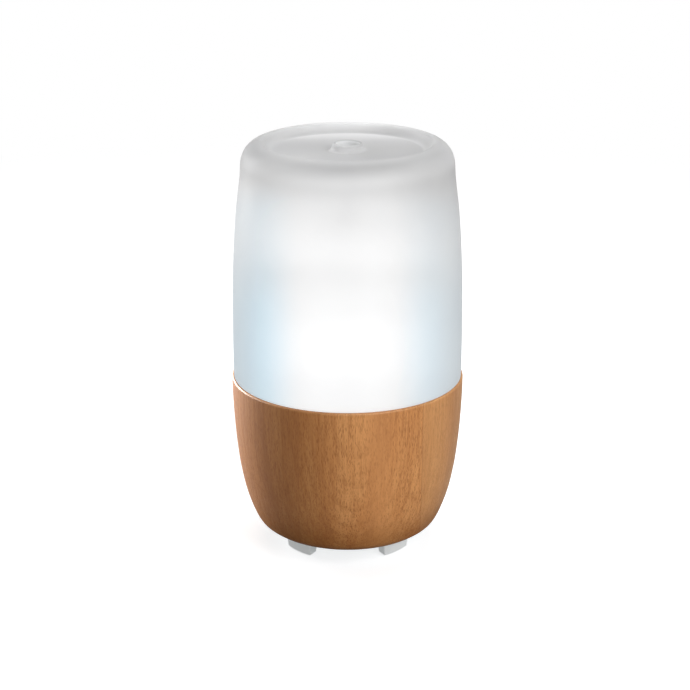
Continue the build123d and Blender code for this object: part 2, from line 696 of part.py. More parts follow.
# name: (number of wires, X and Y step between them, points along the middle)
CABLES = {
    "fan_cable": (2, (0.25, 1.2), [
        (8.0, -8.0, 18.8), (12.0, -10.6, 19.4), (16.2, -9.8, 21.5), (17.6, -9.3, 24.0),
        (17.6, -9.2, BOARD_Z0 - 0.1)]),
    "transducer_cable": (2, (1.3, 0), [
        (2.0, 2.0, DISC_Z - 0.9), (3.6, 6.0, 31.6), (6.0, 10.4, 30.0), (7.8, 14.0, 29.1),
        (8.0, 16.2, PLUG_Z), (8.0, 18.1, PLUG_Z)]),
    "led_cable": (2, (1.3, 0), [
        (-16.0, 15.6, LED_Z0 - 0.52), (-13.8, 13.2, 31.0), (-10.4, 12.8, 29.6),
        (-8.4, 14.6, 29.0), (-8.0, 16.6, PLUG_Z), (-8.0, 18.1, PLUG_Z)]),
    "power_cable": (2, (1.3, 0), [
        (12.0, 26.5, 30.0), (14.6, 23.6, 30.9), (17.2, 20.4, 29.8), (18.0, 17.6, PLUG_Z),
        (18.0, 15.9, PLUG_Z)]),
    "switch_cable": (3, (1.3, 0), [
        (-12.6, 26.5, 31.0), (-14.6, 23.8, 31.2), (-17.3, 20.8, 29.8), (-18.0, 18.4, PLUG_Z),
        (-18.0, 16.9, PLUG_Z)]),
}


def wire(points, dx, dy):
    path = Spline(*[(x + dx, y + dy, z) for x, y, z in points])
    return sweep(Plane(origin=path @ 0, z_dir=path % 0) * Circle(WIRE_R), path=path)


for name, (count, (step_x, step_y), points) in CABLES.items():
    places = [i - (count - 1) / 2 for i in range(count)]
    save(name, *[wire(points, step_x * k, step_y * k) for k in places])

# ---- inner lid --------------------------------------------------------------
LID_WALL = 1.6
LID_TOP_Z = 161.6        # top of the lid's chimney
# (radius, z) up the outside
LID_OUT = [
    (42.1, SEAM_Z + GAP), (42.0, 84.0), (41.75, 100.0), (41.4, 114.0), (40.9, 118.6),
    (39.6, 121.6), (37.0, 123.8), (32.0, 125.6), (24.0, 127.9), (16.0, 130.9),
    (11.4, 134.2), (9.0, 138.6), (8.0, 145.0), (7.6, 153.0), (7.4, LID_TOP_Z),
]


def inner_lid():
    inside = offset_points(LID_OUT, -LID_WALL)
    for end in (0, -1):                     # keep both ends level with the outside
        inside[end] = (LID_OUT[end][0] - LID_WALL, LID_OUT[end][1])
    return revolved([
        spline_xz(LID_OUT),
        line_xz(LID_OUT[-1], inside[-1]),
        spline_xz(inside[::-1]),
        line_xz(inside[0], LID_OUT[0]),
    ])


save("inner_lid", inner_lid())

# ---- frosted outer cover ----------------------------------------------------
COVER_WALL = 2.2
COVER_Z = SEAM_Z + 0.1   # foot of the cover
COVER_TOP_Z = 169.0      # crest of the rim
RECESS_Z = 165.1         # floor of the dish in the top
CEILING_Z = RECESS_Z - COVER_WALL
NOZZLE_R = 4.6           # mist outlet hole
NOZZLE_Z = 168.1         # top of the raised lip round the outlet
COLLAR_R0, COLLAR_R1, COLLAR_Z = 8.3, 9.7, 157.5    # collar under the outlet

# (radius, z) up the outside, over the rim, up the outlet's lip, and up the inside
COVER_SIDE = [
    (47.28, COVER_Z), (47.31, 85.3), (47.18, 99.9), (46.82, 114.5), (46.02, 129.0),
    (44.78, 143.6), (43.13, 158.2), (42.94, 160.8), (42.28, 163.4), (41.11, 165.55),
    (39.49, 167.2), (37.6, 168.35), (36.0, 168.9),
]
COVER_CREST = [
    (36.0, 168.9), (35.2, COVER_TOP_Z), (34.4, 168.72), (33.75, 167.95), (33.3, 166.9),
    (32.7, 165.95), (31.7, 165.3), (30.2, RECESS_Z),
]
COVER_LIP = [
    (7.9, RECESS_Z), (7.05, RECESS_Z + 0.25), (6.55, RECESS_Z + 0.9), (6.32, RECESS_Z + 1.8),
    (6.05, NOZZLE_Z - 0.4), (5.45, NOZZLE_Z), (4.87, NOZZLE_Z - 0.3), (NOZZLE_R, NOZZLE_Z - 1.2),
]
COVER_IN = [
    (45.08, COVER_Z), (45.11, 85.3), (44.98, 99.9), (44.62, 114.2), (43.84, 128.7),
    (42.60, 143.2), (41.05, 156.6), (40.65, 160.2), (40.0, 162.6), (39.0, 164.4),
    (37.8, 165.6), (36.6, 166.1), (35.7, 165.8), (35.1, 164.9), (34.3, 163.8), (33.0, 163.1),
    (31.2, CEILING_Z),
]
SHOULDER = 6             # point of COVER_IN where its two splines meet


def outer_cover():
    cover = revolved([
        spline_xz(COVER_SIDE),
        spline_xz(COVER_CREST, tangents=[(-1, 0, 0.3), (-1, 0, 0)]),
        line_xz(COVER_CREST[-1], COVER_LIP[0]),
        spline_xz(COVER_LIP, tangents=[(-1, 0, 0), (0, 0, -1)]),
        line_xz(COVER_LIP[-1], (NOZZLE_R, CEILING_Z)),
        line_xz((NOZZLE_R, CEILING_Z), COVER_IN[-1]),
        spline_xz(COVER_IN[SHOULDER:][::-1]),
        spline_xz(COVER_IN[:SHOULDER + 1][::-1]),
        line_xz(COVER_IN[0], COVER_SIDE[0]),
    ])
    return cover + ring(COLLAR_R0, COLLAR_R1, COLLAR_Z, CEILING_Z + 0.5)


save("outer_cover", outer_cover())
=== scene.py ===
"""A round mist diffuser: a turned beech base, a frosted cover over a frosted inner lid,
and the CAD parts inside. It stands upright on the floor with its axis on Z. The camera
looks along +Y, so -Y is the front and +X the right; the buttons are at the back.
Curves are in mm and become metres when a mesh is made.
"""
import bpy
import bmesh
import json
import math
import numpy as np
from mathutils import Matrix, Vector


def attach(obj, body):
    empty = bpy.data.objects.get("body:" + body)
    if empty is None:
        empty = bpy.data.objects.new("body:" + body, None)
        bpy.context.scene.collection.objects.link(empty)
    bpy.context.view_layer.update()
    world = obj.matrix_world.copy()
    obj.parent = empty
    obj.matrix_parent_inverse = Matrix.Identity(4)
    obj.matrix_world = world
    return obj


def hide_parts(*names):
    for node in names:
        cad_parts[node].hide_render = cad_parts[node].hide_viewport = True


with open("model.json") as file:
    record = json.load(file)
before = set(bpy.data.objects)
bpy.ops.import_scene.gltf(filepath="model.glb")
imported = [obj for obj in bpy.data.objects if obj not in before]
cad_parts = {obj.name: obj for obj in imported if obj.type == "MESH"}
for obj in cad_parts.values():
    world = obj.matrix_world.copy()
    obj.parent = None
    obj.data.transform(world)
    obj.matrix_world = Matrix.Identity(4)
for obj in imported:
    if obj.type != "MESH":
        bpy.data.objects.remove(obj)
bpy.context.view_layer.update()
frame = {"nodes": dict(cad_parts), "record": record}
NODES = frame["nodes"]

MM = 0.001                       # metres in a mm
LIFT = 2.4                       # the curves below start this far above the floor
SEAM = 70.7 + LIFT               # height of the seam between wood and cover
PANEL_Z = 30.0 + LIFT            # height of the rear panel and its buttons
BUTTON_X = 14.0                  # the buttons' distance from the middle
STAVE_RIGHT = 30.0               # x of the glue joint on the right
STAVE_LEFT = 19.5                # distance of the glue joint left of the middle

WOOD_WALL = 3.2
LID_WALL = 1.6


# ------------------------------------------------------------------ node trees
def arithmetic(operation, swapped=False):
    """An operator method that adds a Math node."""
    def method(self, other):
        pair = (other, self) if swapped else (self, other)
        return self.tree.math(operation, *pair)
    return method


class Value:
    """A node's output. Arithmetic and the methods below add nodes that read it."""

    def __init__(self, tree, socket):
        self.tree = tree
        self.socket = socket

    __add__ = arithmetic("ADD")
    __radd__ = arithmetic("ADD", swapped=True)
    __sub__ = arithmetic("SUBTRACT")
    __rsub__ = arithmetic("SUBTRACT", swapped=True)
    __mul__ = arithmetic("MULTIPLY")
    __truediv__ = arithmetic("DIVIDE")
    __pow__ = arithmetic("POWER")
    __gt__ = arithmetic("GREATER_THAN")
    __lt__ = arithmetic("LESS_THAN")
    larger = arithmetic("MAXIMUM")
    smaller = arithmetic("MINIMUM")

    def __abs__(self):
        return self.math("ABSOLUTE")

    def math(self, operation, *others):
        return self.tree.math(operation, self, *others)

    def sqrt(self):
        return self.math("SQRT")

    def falloff(self, width):
        """A bell curve: 1 at zero, fading over the width to both sides."""
        return (abs(self / width) ** 2.0 * -1.0).math("EXPONENT")

    def ramp(self, off, on, low=0.0, high=1.0):
        """A smooth step from low, where the value is off, to high, where it is on."""
        return self.tree.value("ShaderNodeMapRange", {
            "Value": self, "From Min": off, "From Max": on, "To Min": low, "To Max": high,
        }, interpolation_type="SMOOTHSTEP")

    def spread(self, low=0.0, high=1.0):
        """The usual range of a noise, carried over to low-high."""
        return self.ramp(off=0.3, on=0.7, low=low, high=high)

    def mix(self, colour, other):
        """From one colour to the other as the value goes from 0 to 1."""
        return self.tree.value("ShaderNodeMix", {0: self, 6: colour, 7: other},
                               out=2, data_type="RGBA", blend_type="MIX")

    def between(self, start, end):
        """From one number to the other as the value goes from 0 to 1."""
        return self.tree.value("ShaderNodeMix", {0: self, 2: start, 3: end}, data_type="FLOAT")

    def tinted(self, tint):
        return self.tree.value("ShaderNodeMix", {0: 1.0, 6: self, 7: tint},
                               out=2, data_type="RGBA", blend_type="MULTIPLY")

    def colours(self, stops):
        """A colour ramp from a list of (position, colour)."""
        node = self.tree.node("ShaderNodeValToRGB", {0: self})
        elements = node.color_ramp.elements
        while len(elements) < len(stops):
            elements.new(0.5)
        for element, (position, colour) in zip(elements, stops):
            element.position = position
            element.color = (*colour, 1.0)
        return Value(self.tree, node.outputs[0])

    def xyz(self):
        return self.tree.outputs("ShaderNodeSeparateXYZ", range(3), {0: self})

    def scaled(self, factor):
        return self.tree.value("ShaderNodeVectorMath", {0: self, "Scale": factor},
                               out="Vector", operation="SCALE")

    def length(self):
        return self.tree.value("ShaderNodeVectorMath", {0: self}, out="Value",
                               operation="LENGTH")

    def noise(self, scale, detail, rough, distortion=0.0, out="Fac"):
        return self.tree.value("ShaderNodeTexNoise", {
            "Vector": self, "Scale": scale, "Detail": detail, "Roughness": rough,
            "Distortion": distortion,
        }, out=out)

    def voronoi(self, scale, feature="F1", randomness=1.0):
        return self.tree.value("ShaderNodeTexVoronoi", {
            "Vector": self, "Scale": scale, "Randomness": randomness,
        }, out="Distance", feature=feature)

    def bump(self, strength, depth):
        """A normal with the value as height; depth in metres."""
        return self.tree.value("ShaderNodeBump", {
            "Height": self, "Strength": strength, "Distance": depth})


class Tree:
    """The node tree of a material or a world."""

    INPUTS = {
        "color": "Base Color", "rough": "Roughness", "metal": "Metallic", "normal": "Normal",
        "coat": "Coat Weight", "coat_rough": "Coat Roughness", "spec": "Specular IOR Level",
        "sss": "Subsurface Weight", "sss_radius": "Subsurface Radius",
        "sss_scale": "Subsurface Scale", "emit": "Emission Color", "power": "Emission Strength",
    }

    def __init__(self, owner, output_kind):
        self.owner = owner
        owner.use_nodes = True
        self.graph = owner.node_tree
        self.graph.nodes.clear()
        self.output = self.node(output_kind)

    def put(self, socket, value):
        if isinstance(value, Value):
            self.graph.links.new(value.socket, socket)
            return
        if isinstance(value, tuple) and len(value) == 3 and len(socket.default_value) == 4:
            value = (*value, 1.0)
        socket.default_value = value

    def node(self, kind, inputs=None, **props):
        node = self.graph.nodes.new(kind)
        for key, value in props.items():
            setattr(node, key, value)
        for key, value in (inputs or {}).items():
            self.put(node.inputs[key], value)
        return node

    def outputs(self, kind, outs, inputs=None, **props):
        node = self.node(kind, inputs, **props)
        return [Value(self, node.outputs[out]) for out in outs]

    def value(self, kind, inputs=None, out=0, **props):
        return self.outputs(kind, [out], inputs, **props)[0]

    def math(self, operation, *values):
        return self.value("ShaderNodeMath", dict(enumerate(values)), operation=operation)

    def vec(self, x, y, z):
        return self.value("ShaderNodeCombineXYZ", {0: x, 1: y, 2: z})

    def where(self):
        """Position in mm in the mesh's own coordinates, so it moves with the piece."""
        return self.value("ShaderNodeTexCoord", out="Object").scaled(1000.0)

    def finish(self, surface):
        self.put(self.output.inputs["Surface"], surface)
        return self.owner

    def principled(self, **values):
        inputs = {self.INPUTS[key]: value for key, value in values.items()}
        return self.finish(self.value("ShaderNodeBsdfPrincipled", inputs))


def material(name):
    return Tree(bpy.data.materials.new(name), "ShaderNodeOutputMaterial")


def radius(x, y):
    return (x * x + y * y).sqrt()


def srgb(*channels):
    """sRGB 0-255 to linear."""
    out = []
    for c in channels:
        c /= 255.0
        out.append(c / 12.92 if c <= 0.04045 else ((c + 0.055) / 1.055) ** 2.4)
    return tuple(out)


def shade(colour, factor, lift=0.0):
    return tuple(min(1.0, c * factor + lift) for c in colour)


# ------------------------------------------------------------------ mesh helpers
def spline(points, step):
    """Resamples an open curve with a natural cubic spline at about step mm."""
    points = np.array(points, float)
    along = np.concatenate([[0], np.cumsum(np.hypot(*np.diff(points, axis=0).T))])
    total = len(points)
    gap = np.diff(along)
    system = np.zeros((total, total))
    target = np.zeros((total, 2))
    system[0, 0] = system[-1, -1] = 1
    for i in range(1, total - 1):
        system[i, i - 1:i + 2] = gap[i - 1], 2 * (gap[i - 1] + gap[i]), gap[i]
        target[i] = 6 * ((points[i + 1] - points[i]) / gap[i]
                         - (points[i] - points[i - 1]) / gap[i - 1])
    bend = np.linalg.solve(system, target)                    # second derivatives
    count = max(2, int(round(along[-1] / step)))
    out = []
    for s in np.linspace(0, along[-1], count + 1):
        i = min(total - 2, int(np.searchsorted(along, s, side="right")) - 1)
        ahead, behind = along[i + 1] - s, s - along[i]
        spot = ((bend[i] * ahead ** 3 + bend[i + 1] * behind ** 3) / (6 * gap[i])
                + (points[i] / gap[i] - bend[i] * gap[i] / 6) * ahead
                + (points[i + 1] / gap[i] - bend[i + 1] * gap[i] / 6) * behind)
        out.append((float(spot[0]), float(spot[1])))
    return out


def inset(curve, wall, side):
    """The curve moved in by the wall; side is 1 to move it up as well, -1 for down."""
    out = []
    for (r0, z0), (r1, z1) in zip(curve, curve[1:]):
        run, rise = abs(r1 - r0), abs(z1 - z0)
        length = math.hypot(run, rise)
        out.append((r0 - wall * rise / length, z0 + side * wall * run / length))
    return out


def clip(curve, low, high=math.inf):
    """The points of the curve between two heights."""
    return [(r, z) for r, z in curve if low < z < high]


def smooth(piece, sharp=35.0):
    mesh = piece.data
    mesh.polygons.foreach_set("use_smooth", [True] * len(mesh.polygons))
    mesh.set_sharp_from_angle(angle=math.radians(sharp))
    mesh.update()


def linked(name, data):
    """A new object in the scene."""
    piece = bpy.data.objects.new(name, data)
    bpy.context.scene.collection.objects.link(piece)
    return piece


def lathe(name, profile, segments):
    """A turned mesh from a profile of (radius, z) that goes once round the section."""
    count = len(profile)
    verts, faces = [], []
    for i in range(segments):
        angle = 2 * math.pi * i / segments
        cos, sin = math.cos(angle), math.sin(angle)
        verts += [(r * cos * MM, r * sin * MM, (z + LIFT) * MM) for r, z in profile]
    for i in range(segments):
        j = (i + 1) % segments
        for k in range(count):
            n = (k + 1) % count
            faces.append((i * count + k, j * count + k, j * count + n, i * count + n))
    mesh = bpy.data.meshes.new(name)
    mesh.from_pydata(verts, [], faces)
    mesh.update()
    bm = bmesh.new()
    bm.from_mesh(mesh)
    bmesh.ops.recalc_face_normals(bm, faces=bm.faces)
    bm.to_mesh(mesh)
    bm.free()
    piece = linked(name, mesh)
    smooth(piece)
    return piece


def paint(piece, coat):
    """Puts one material on all slots, linked to the object so that CAD meshes stay untouched."""
    if not piece.material_slots:
        piece.data.materials.append(None)
    for slot in piece.material_slots:
        slot.link = "OBJECT"
        slot.material = coat


# ------------------------------------------------------------------ curves: (radius, z) in mm
WOOD_OUT = [                     # outside, from the top edge down
    (48.0, 69.9), (47.93, 64.5), (47.70, 58.4), (47.36, 52.2), (46.92, 46.1),
    (46.32, 40.0), (45.56, 33.8), (44.52, 27.7), (43.17, 21.6), (41.24, 15.4),
    (38.95, 9.9), (37.3, 7.4), (35.4, 6.0),
]
WOOD_FOOT = [                    # underside, inwards to the opening
    (35.0, 5.72), (34.5, 5.62), (34.1, 5.6), (33.82, 5.68), (33.75, 5.9), (33.75, 7.9),
    (33.9, 8.2),
]
WOOD_LIP = [(44.8, 69.8), (44.8, 70.4), (45.1, 70.7)]         # inner top edge
COVER_FOOT = [(45.4, 70.80), (46.95, 70.80), (47.15, 70.86), (47.27, 71.05)]
COVER_SIDE = [                   # outside wall and shoulder, upwards
    (47.28, 70.8), (47.31, 85.3), (47.18, 99.9), (46.82, 114.5), (46.02, 129.0),
    (44.78, 143.6), (43.13, 158.2), (42.94, 160.8), (42.28, 163.4), (41.11, 165.55),
    (39.49, 167.2), (37.6, 168.35), (36.0, 168.9),
]
COVER_CREST = [                  # rim of the cap and the drop into its recess
    (36.0, 168.9), (35.2, 169.0), (34.4, 168.72), (33.75, 167.95), (33.3, 166.9),
    (32.7, 165.95), (31.7, 165.3), (30.2, 165.1), (28.0, 165.1),
]
COVER_BOSS = [                   # raised ring round the outlet
    (10.5, 165.1), (7.9, 165.1), (7.05, 165.35), (6.55, 166.0), (6.32, 166.9),
    (6.05, 167.7), (5.45, 168.1), (4.87, 167.8), (4.62, 166.9),
]
COVER_COLLAR = [                 # outlet bore, then the collar hanging under the roof
    (4.6, 166.2), (4.6, 163.3), (4.8, 162.95), (5.15, 162.9), (8.25, 162.9), (8.3, 162.7),
    (8.3, 157.9), (8.5, 157.55), (8.8, 157.5), (9.3, 157.5), (9.6, 157.6), (9.7, 157.9),
    (9.7, 162.6), (9.9, 162.9), (20.0, 162.9),
]
COVER_IN_WALL = [                # inside wall, upwards
    (45.08, 70.8), (45.11, 85.3), (44.98, 99.9), (44.62, 114.2), (43.84, 128.7),
    (42.60, 143.2), (41.05, 156.6),
]
COVER_IN_ROOF = [                # from the wall's top to the flat roof
    COVER_IN_WALL[-1], (40.65, 160.2), (40.0, 162.6), (39.0, 164.4), (37.8, 165.6),
    (36.6, 166.1), (35.7, 165.8), (35.1, 164.9), (34.3, 163.8), (33.0, 163.1), (31.2, 162.9),
]
LID_OUT = [                      # outside wall, dome and chimney, upwards
    (42.1, 70.75), (42.0, 84.0), (41.75, 100.0), (41.4, 114.0), (40.9, 118.6),
    (39.6, 121.6), (37.0, 123.8), (32.0, 125.6), (24.0, 127.9), (16.0, 130.9),
    (11.4, 134.2), (9.0, 138.6), (8.0, 145.0), (7.6, 153.0), (7.4, 161.6),
]
LID_TIP = [(7.38, 161.5), (7.2, 161.6), (6.1, 161.6), (5.85, 161.4)]


# ------------------------------------------------------------------ the three shells
def panel_cutter():
    """A bar with round ends that runs along Y through the back wall of the wood."""
    half_width, end_radius = 44.4 / 2, 13.4 / 2
    end_points = 48
    near, far = 22, 60           # y of its two ends
    ring = []
    for side, start in ((1, -math.pi / 2), (-1, math.pi / 2)):
        for i in range(end_points):
            angle = math.pi * (i / (end_points - 1)) + start
            ring.append((side * (half_width - end_radius) + end_radius * math.cos(angle),
                         end_radius * math.sin(angle)))
    bm = bmesh.new()
    outer = [bm.verts.new((x * MM, far * MM, (PANEL_Z + z) * MM)) for x, z in ring]
    inner = [bm.verts.new((x * MM, near * MM, (PANEL_Z + z) * MM)) for x, z in ring]
    bm.faces.new(outer)
    bm.faces.new(inner[::-1])
    for i in range(len(ring)):
        j = (i + 1) % len(ring)
        bm.faces.new((outer[i], inner[i], inner[j], outer[j]))
    bmesh.ops.recalc_face_normals(bm, faces=bm.faces)
    mesh = bpy.data.meshes.new("cutter")
    bm.to_mesh(mesh)
    bm.free()
    return linked("cutter", mesh)


def beech_shell():
    edge_r, edge_z, edge_round, edge_steps = 47.4, 70.1, 0.6, 6    # rounded top edge
    edge = []
    for i in range(edge_steps + 1):
        angle = math.pi / 2 * (1 - i / edge_steps)
        edge.append((edge_r + edge_round * math.cos(angle),
                     edge_z + edge_round * math.sin(angle)))
    outer = spline(WOOD_OUT, step=0.8)
    inner = clip(inset(outer, WOOD_WALL, side=1), 8.3, 69.6)
    floor_edge = [(inner[-1][0], WOOD_FOOT[-1][1])]
    profile = edge + outer[1:] + WOOD_FOOT + floor_edge + inner[::-1] + WOOD_LIP
    shell = lathe("beech_shell", profile, segments=224)

    # the opening for the rear panel, cut and made real
    cutter = panel_cutter()
    cut = shell.modifiers.new("cut", "BOOLEAN")
    cut.operation = "DIFFERENCE"
    cut.solver = "EXACT"
    cut.object = cutter
    bpy.context.view_layer.update()
    graph = bpy.context.evaluated_depsgraph_get()
    mesh = bpy.data.meshes.new_from_object(shell.evaluated_get(graph), depsgraph=graph)
    shell.modifiers.clear()
    shell.data = mesh
    bpy.data.objects.remove(cutter)
    smooth(shell, sharp=32)
    return shell


def cover_shell():
    side = clip(spline(COVER_SIDE, step=1.2), 71.2)
    crest = spline(COVER_CREST, step=0.35)
    boss = spline(COVER_BOSS, step=0.3)
    inner = spline(COVER_IN_WALL, step=2.5)[:-1] + spline(COVER_IN_ROOF, step=0.6)
    profile = COVER_FOOT + side + crest[1:] + boss + COVER_COLLAR + inner[:0:-1]
    return lathe("cover_shell", profile + [(45.1, 71.1)], segments=224)


def lid_shell():
    outer = spline(LID_OUT, step=0.9)
    inner = clip(inset(outer, LID_WALL, side=-1), 71.6, 161.0)
    profile = [(41.9, 70.75)] + clip(outer, 71.0, 161.3) + LID_TIP
    profile += inner[::-1] + [(40.55, 71.0), (40.75, 70.75)]
    return lathe("lid_shell", profile, segments=192)


# ------------------------------------------------------------------ frosted materials
def line_of_sight(tree):
    """Where the line of sight passes nearest the axis: its gap from it and its level above
    the seam, in mm. It reads the world position, so light worked out from it stays with the
    base when a shell is lifted off."""
    position, incoming = tree.outputs("ShaderNodeNewGeometry", ["Position", "Incoming"])
    x, y, z = position.scaled(1000.0).xyz()
    to_x, to_y, to_z = incoming.xyz()
    flat = (to_x * to_x + to_y * to_y).larger(0.02)           # kept off zero for views from above
    travel = (x * to_x + y * to_y) / flat
    travel = travel.larger(-60.0).smaller(62.0)               # held near the body
    gap = radius(x - travel * to_x, y - travel * to_y)
    level = z - travel * to_z - SEAM
    return gap, level


def patch(gap, level, width, height, tall, power):
    """A soft patch of light on the axis; a higher power gives it a flatter middle."""
    axis = 0.0
    across = abs((gap - axis) / width) ** power
    along = abs((level - height) / tall) ** power
    return ((across + along) * -1.0).math("EXPONENT")


def frosted_cover():
    tree = material("frosted_cover")
    point = tree.where()
    gap, level = line_of_sight(tree)
    side = point.xyz()[0]
    height = point.xyz()[2]
    back = point.xyz()[1]
    out = radius(side, back)

    # painted light, put on the shell as emission: the soft light of the tank, the lid and the
    # lamps; each factor is a patch's strength
    wide = gap.ramp(off=58.2, on=6.0) * level.ramp(off=91.0, on=48.4)
    core = patch(gap, level, width=35.6, height=10.3, tall=13.1, power=3.0)
    dome = patch(gap, level, width=25.4, height=75.0, tall=8.9, power=2.4)
    # painted light left of the middle, evening out the key light from the right as if it shone
    # through the shell
    left_painted_light = (side + 28.2).falloff(width=18.8)                 # to the left of the middle
    left_painted_light = (left_painted_light * level.ramp(off=100.0, on=78.0)
             * level.ramp(off=68.0, on=36.0).between(1.0, 0.76))
    column = patch(gap, level, width=7.5, height=68.0, tall=6.0, power=2.0)
    band = (level - 42.0).falloff(width=7.4)
    glow = wide * 0.448 + core * 0.083
    glow = glow + (dome * 0.145 + left_painted_light * 0.261)
    glow = glow + level.ramp(off=90.0, on=60.0) * 0.088
    # painted shade: less of this light along a column on the axis and in a band lower down
    glow = glow - column * 0.037
    glow = glow - band * gap.ramp(off=46.0, on=30.0) * 0.049

    # painted light on the cap, standing for light from behind shining through it
    cap = height.ramp(off=SEAM + 88.5, on=SEAM + 93.5)
    wall = back.ramp(off=15.0, on=29.0) * out.ramp(off=31.6, on=30.6)
    behind = back.ramp(off=2.0, on=33.0) * 0.11 + wall * 0.12
    behind = behind + back.ramp(off=30.0, on=40.0) * 0.10
    glow = glow + cap * behind
    # painted light in the outlet, standing for what comes up the chimney
    outlet_painted_light = out.ramp(off=5.0, on=4.8) * height.ramp(off=SEAM + 88.0, on=SEAM + 90.0)
    glow = glow + outlet_painted_light * 0.18
    # painted highlight along the outer shoulder
    shoulder_painted_light = (height - (SEAM + 91.6)).falloff(width=2.8)
    shoulder_painted_light = (shoulder_painted_light * out.ramp(off=38.0, on=41.0)
            * abs(side).ramp(off=5.0, on=35.0).between(1.0, 0.45))
    shoulder_painted_light = shoulder_painted_light * side.ramp(off=-40.0, on=-30.0)
    glow = glow + shoulder_painted_light * 0.095
    # painted light, too, on the back of the rim, the right of the recess and the foot of the
    # outlet
    rear = (side - 7.0).falloff(width=18.0)
    rear = rear * out.ramp(off=32.0, on=34.0) * (cap * back.ramp(off=14.0, on=28.0))
    glow = glow + rear * 0.17
    right = (side.ramp(off=16.0, on=30.0) * back.ramp(off=-16.0, on=-2.0)
             * (out.ramp(off=29.5, on=31.0) * out.ramp(off=37.0, on=34.0)))
    glow = glow + cap * right * 0.085
    foot = (out.ramp(off=8.4, on=6.6) * out.ramp(off=5.2, on=5.9)
            * (cap * back.ramp(off=4.0, on=-2.0)))
    glow = glow + foot * side.ramp(off=4.0, on=-3.0).between(0.05, 0.17)
    # the back of the shell glows less
    away = back.ramp(off=2.0, on=32.0) * level.ramp(off=92.0, on=80.0)
    glow = glow.larger(0.0) * away.between(1.0, 0.62)
    # painted light on the lifted-off shell, standing for daylight let through, most where it is
    # seen face on
    position = tree.value("ShaderNodeNewGeometry", out="Position")
    lifted = (position.xyz()[2] * 1000.0 - height).ramp(off=12.0, on=70.0)
    glow = glow + lifted * gap.ramp(off=50.0, on=14.0, low=0.07, high=0.21)
    # the light is bluer away from the axis
    blue = gap.ramp(off=18.0, on=38.0) * (level.ramp(off=84.0, on=70.0) * 0.40
                                          + level.ramp(off=60.0, on=24.0) * 0.60)
    tint = blue.mix((1.0, 1.0, 1.0), (0.76, 1.04, 1.20))

    # fine frosting with faint clouds
    fine = point.noise(scale=9.0, detail=2.0, rough=0.6)
    cloud = point.noise(scale=0.05, detail=2.0, rough=0.5)
    grain = point.noise(scale=1.6, detail=4.0, rough=0.6)
    colour = cloud.spread().mix((0.512, 0.512, 0.516), (0.528, 0.528, 0.528))
    # painted shade as darker lines: the shoulder's front, the top of the outlet ring, the rim's
    # back edge
    oval = (side * side * 1.05 + back * back).sqrt()
    near = cap * (oval - 39.6).falloff(width=2.0)
    near = near * (back.ramp(off=-6.0, on=-20.0)
                   * abs(side).ramp(off=12.0, on=30.0).between(1.0, 0.5))
    ring = cap * (height.ramp(off=SEAM + 96.0, on=SEAM + 96.9)
                  * (out.ramp(off=6.9, on=6.3) * out.ramp(off=4.6, on=5.0)))
    edge = cap * (out - 32.3).falloff(width=0.9) * back.ramp(off=14.0, on=28.0)
    for line, strength in ((near, 0.18), (ring, 0.16), (edge, 0.17)):
        colour = (line * strength).mix(colour, (0.0, 0.0, 0.0))
    return tree.principled(
        color=colour, rough=grain.spread(0.44, 0.56), spec=0.35,
        sss=0.35, sss_radius=(1.0, 1.0, 1.05), sss_scale=0.006,
        emit=tint, power=glow,
        normal=(fine + grain * 0.6).bump(strength=0.12, depth=0.00006),
    )


def frosted_lid():
    tree = material("frosted_lid")
    point = tree.where()
    gap, level = line_of_sight(tree)
    # painted light as emission on the lid: a wide glow, a patch low down and the chimney; each
    # factor is its strength
    wide = gap.ramp(off=46.0, on=5.0) * level.ramp(off=92.0, on=10.0)
    low = patch(gap, level, width=30.0, height=6.0, tall=34.0, power=2.6)
    glow = wide * 0.55 + low * 0.35
    x, y, z = point.xyz()
    chimney = radius(x, y).ramp(off=9.5, on=8.0) * z.ramp(off=SEAM + 60.0, on=SEAM + 84.0)
    glow = glow + chimney * 0.28
    grain = point.noise(scale=1.2, detail=4.0, rough=0.6)
    cloud = point.noise(scale=0.06, detail=2.0, rough=0.5)
    fine = point.noise(scale=7.0, detail=2.0, rough=0.6)
    return tree.principled(
        color=cloud.spread().mix((0.60, 0.62, 0.64), (0.68, 0.69, 0.70)),
        rough=grain.spread(0.28, 0.40), spec=0.5,
        sss=0.4, sss_radius=(1.0, 1.0, 1.0), sss_scale=0.005,
        emit=(0.92, 0.98, 1.0), power=glow,
        normal=(fine + grain).bump(strength=0.08, depth=0.00006),
    )


# ------------------------------------------------------------------ plastics and rubber
def milky(name, colour, rough, glow, sss=0.4):
    """Clear or milky moulded plastic with faint flow marks and fine scuffs, and a painted glow
    that follows the flow marks.
    """
    tree = material(name)
    point = tree.where()
    x, y, z = point.xyz()
    flow = tree.vec(x * 0.06, y * 0.06, z * 0.02).noise(
        scale=1.0, detail=3.0, rough=0.5, distortion=0.6)
    grain = point.noise(scale=1.4, detail=4.0, rough=0.65)
    scuff = tree.vec(x * 0.25, y, z * 3.0).noise(scale=1.3, detail=3.0, rough=0.6)
    scuff = scuff.ramp(off=0.58, on=0.72)
    return tree.principled(
        color=flow.spread().mix(shade(colour, 0.93), colour),
        rough=grain.spread(rough - 0.05, rough + 0.05) + scuff * 0.10, spec=0.5,
        sss=sss, sss_radius=(1.0, 1.0, 1.0), sss_scale=0.003,
        emit=(0.93, 0.98, 1.0), power=flow.ramp(off=0.2, on=0.8, low=0.9, high=1.1) * glow,
        normal=(grain + flow * 1.5).bump(strength=0.10, depth=0.00008),
    )


